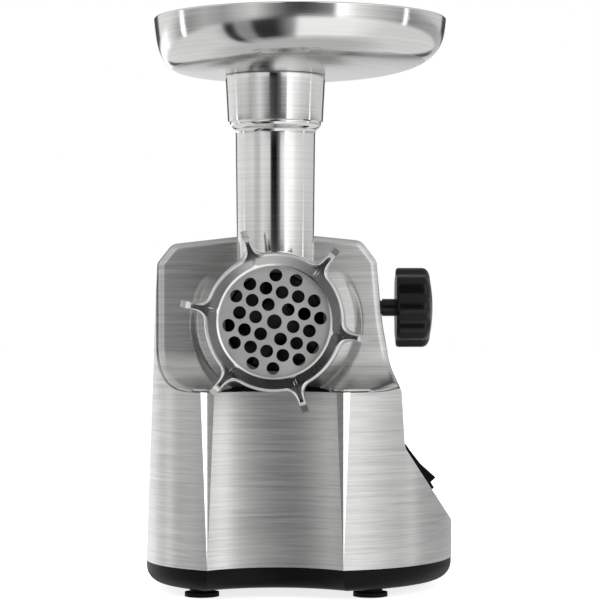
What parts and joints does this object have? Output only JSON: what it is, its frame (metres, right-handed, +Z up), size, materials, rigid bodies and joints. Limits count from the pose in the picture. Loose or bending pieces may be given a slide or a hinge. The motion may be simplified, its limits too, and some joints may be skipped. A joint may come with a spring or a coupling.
{
  "type": "electric meat grinder",
  "caption": "Electric meat grinder with a brushed-steel motor housing, removable grinding head, lugged retaining ring, cutting plate, clamp knob, rocker switch and round hopper tray.",
  "frame": {"origin": "on the table, under the middle of the machine's overall width and depth", "axes": "+X to the right as the user faces the outlet, +Y from the outlet to the back, +Z up along the feed tube"},
  "size_m": [0.1747, 0.2655, 0.317],
  "materials": {
    "housing_shell": "brushed",
    "front_fascia": "brushed",
    "rear_cover": "satin",
    "cord_gland": "satin",
    "base_tray": "satin",
    "feet": "matt",
    "foot_screws": "machined",
    "switch_bezel": "satin",
    "switch_body": "satin",
    "switch_rocker": "gloss",
    "clamp_bush": "die-cast",
    "clamp_stud": "machined",
    "clamp_knob": "gloss",
    "grinder_head": "satin polished",
    "head_bush": "plain",
    "cutting_plate": "brushed",
    "knife": "machined",
    "feed_screw": "die-cast",
    "ring_nut": "satin",
    "hopper_tray": "brushed",
    "gearbox_front": "die-cast",
    "gearbox_rear": "die-cast",
    "gearbox_screws": "machined",
    "output_gear": "plain",
    "second_gear": "plain",
    "first_gear": "plain",
    "motor_rotor": "laminated",
    "rotor_winding": "varnished wire",
    "commutator": "varnished wire",
    "motor_fan": "plain",
    "stator_core": "laminated",
    "field_coils": "varnished wire",
    "front_bracket": "die-cast",
    "rear_bracket": "die-cast",
    "motor_bearings": "machined",
    "brush_gear": "plain",
    "terminal_block": "plain",
    "capacitor": "satin"
  },
  "bodies": {
    "housing": {"housing_shell": "housing_shell", "front_fascia": "front_fascia", "rear_cover": "rear_cover", "cord_gland": "cord_gland", "base_tray": "base_tray", "feet": "feet", "foot_screws": "foot_screws", "switch_bezel": "switch_bezel", "switch_body": "switch_body", "clamp_bush": "clamp_bush", "gearbox_front": "gearbox_front", "gearbox_rear": "gearbox_rear", "gearbox_screws": "gearbox_screws", "front_bracket": "front_bracket", "rear_bracket": "rear_bracket", "stator_core": "stator_core", "field_coils": "field_coils", "motor_bearings": "motor_bearings", "brush_gear": "brush_gear", "terminal_block": "terminal_block", "capacitor": "capacitor"},
    "output_wheel": {"output_gear": "output_gear"},
    "second_wheel": {"second_gear": "second_gear"},
    "first_wheel": {"first_gear": "first_gear"},
    "motor": {"motor_rotor": "motor_rotor", "rotor_winding": "rotor_winding", "commutator": "commutator", "motor_fan": "motor_fan"},
    "head": {"grinder_head": "grinder_head", "head_bush": "head_bush"},
    "screw": {"feed_screw": "feed_screw", "knife": "knife"},
    "plate": {"cutting_plate": "cutting_plate"},
    "ring": {"ring_nut": "ring_nut"},
    "tray": {"hopper_tray": "hopper_tray"},
    "stud": {"clamp_stud": "clamp_stud"},
    "knob": {"clamp_knob": "clamp_knob"},
    "rocker": {"switch_rocker": "switch_rocker"}
  },
  "joints": [
    {"name": "output_spin", "type": "hinge", "parent": "housing", "child": "output_wheel", "pos_m": [-0.0134, -0.05325, 0.153], "axis": [0, 1, 0], "continuous": true},
    {"name": "second_spin", "type": "hinge", "parent": "housing", "child": "second_wheel", "pos_m": [-0.03282, -0.05325, 0.1091], "axis": [0, 1, 0], "continuous": true},
    {"name": "first_spin", "type": "hinge", "parent": "housing", "child": "first_wheel", "pos_m": [-0.00452, -0.05325, 0.08959], "axis": [0, 1, 0], "continuous": true},
    {"name": "motor_spin", "type": "hinge", "parent": "housing", "child": "motor", "pos_m": [0.012, -0.05325, 0.066], "axis": [0, 1, 0], "continuous": true},
    {"name": "head_pull", "type": "slide", "parent": "housing", "child": "head", "axis": [0, -1, 0], "range_m": [0, 0.02]},
    {"name": "screw_spin", "type": "hinge", "parent": "head", "child": "screw", "pos_m": [-0.0134, -0.05325, 0.153], "axis": [0, 1, 0], "continuous": true},
    {"name": "plate_slide", "type": "slide", "parent": "head", "child": "plate", "axis": [0, -1, 0], "range_m": [0, 0.009]},
    {"name": "ring_turn", "type": "hinge", "parent": "plate", "child": "ring", "pos_m": [-0.0134, -0.05325, 0.153], "axis": [0, -1, 0], "range_deg": [0, 1080]},
    {"name": "tray_lift", "type": "slide", "parent": "head", "child": "tray", "axis": [0, 0, 1], "range_m": [0, 0.05]},
    {"name": "stud_travel", "type": "slide", "parent": "housing", "child": "stud", "axis": [1, 0, 0], "range_m": [0, 0.006]},
    {"name": "knob_turn", "type": "hinge", "parent": "stud", "child": "knob", "pos_m": [0, -0.00675, 0.1602], "axis": [1, 0, 0], "range_deg": [0, 1440]},
    {"name": "rocker_tip", "type": "hinge", "parent": "housing", "child": "rocker", "pos_m": [0.06878, 0.01675, 0.0692], "axis": [0, 1, 0], "range_deg": [0, 20]}
  ],
  "couplings": [
    {"joint": "second_spin", "follows": "output_spin", "ratio": -3},
    {"joint": "first_spin", "follows": "output_spin", "ratio": 9.6923},
    {"joint": "motor_spin", "follows": "output_spin", "ratio": -48.462},
    {"joint": "screw_spin", "follows": "output_spin", "ratio": 1},
    {"joint": "plate_slide", "follows": "ring_turn", "m_per_rad": 0.00047746},
    {"joint": "stud_travel", "follows": "knob_turn", "m_per_rad": 0.00023873}
  ]
}
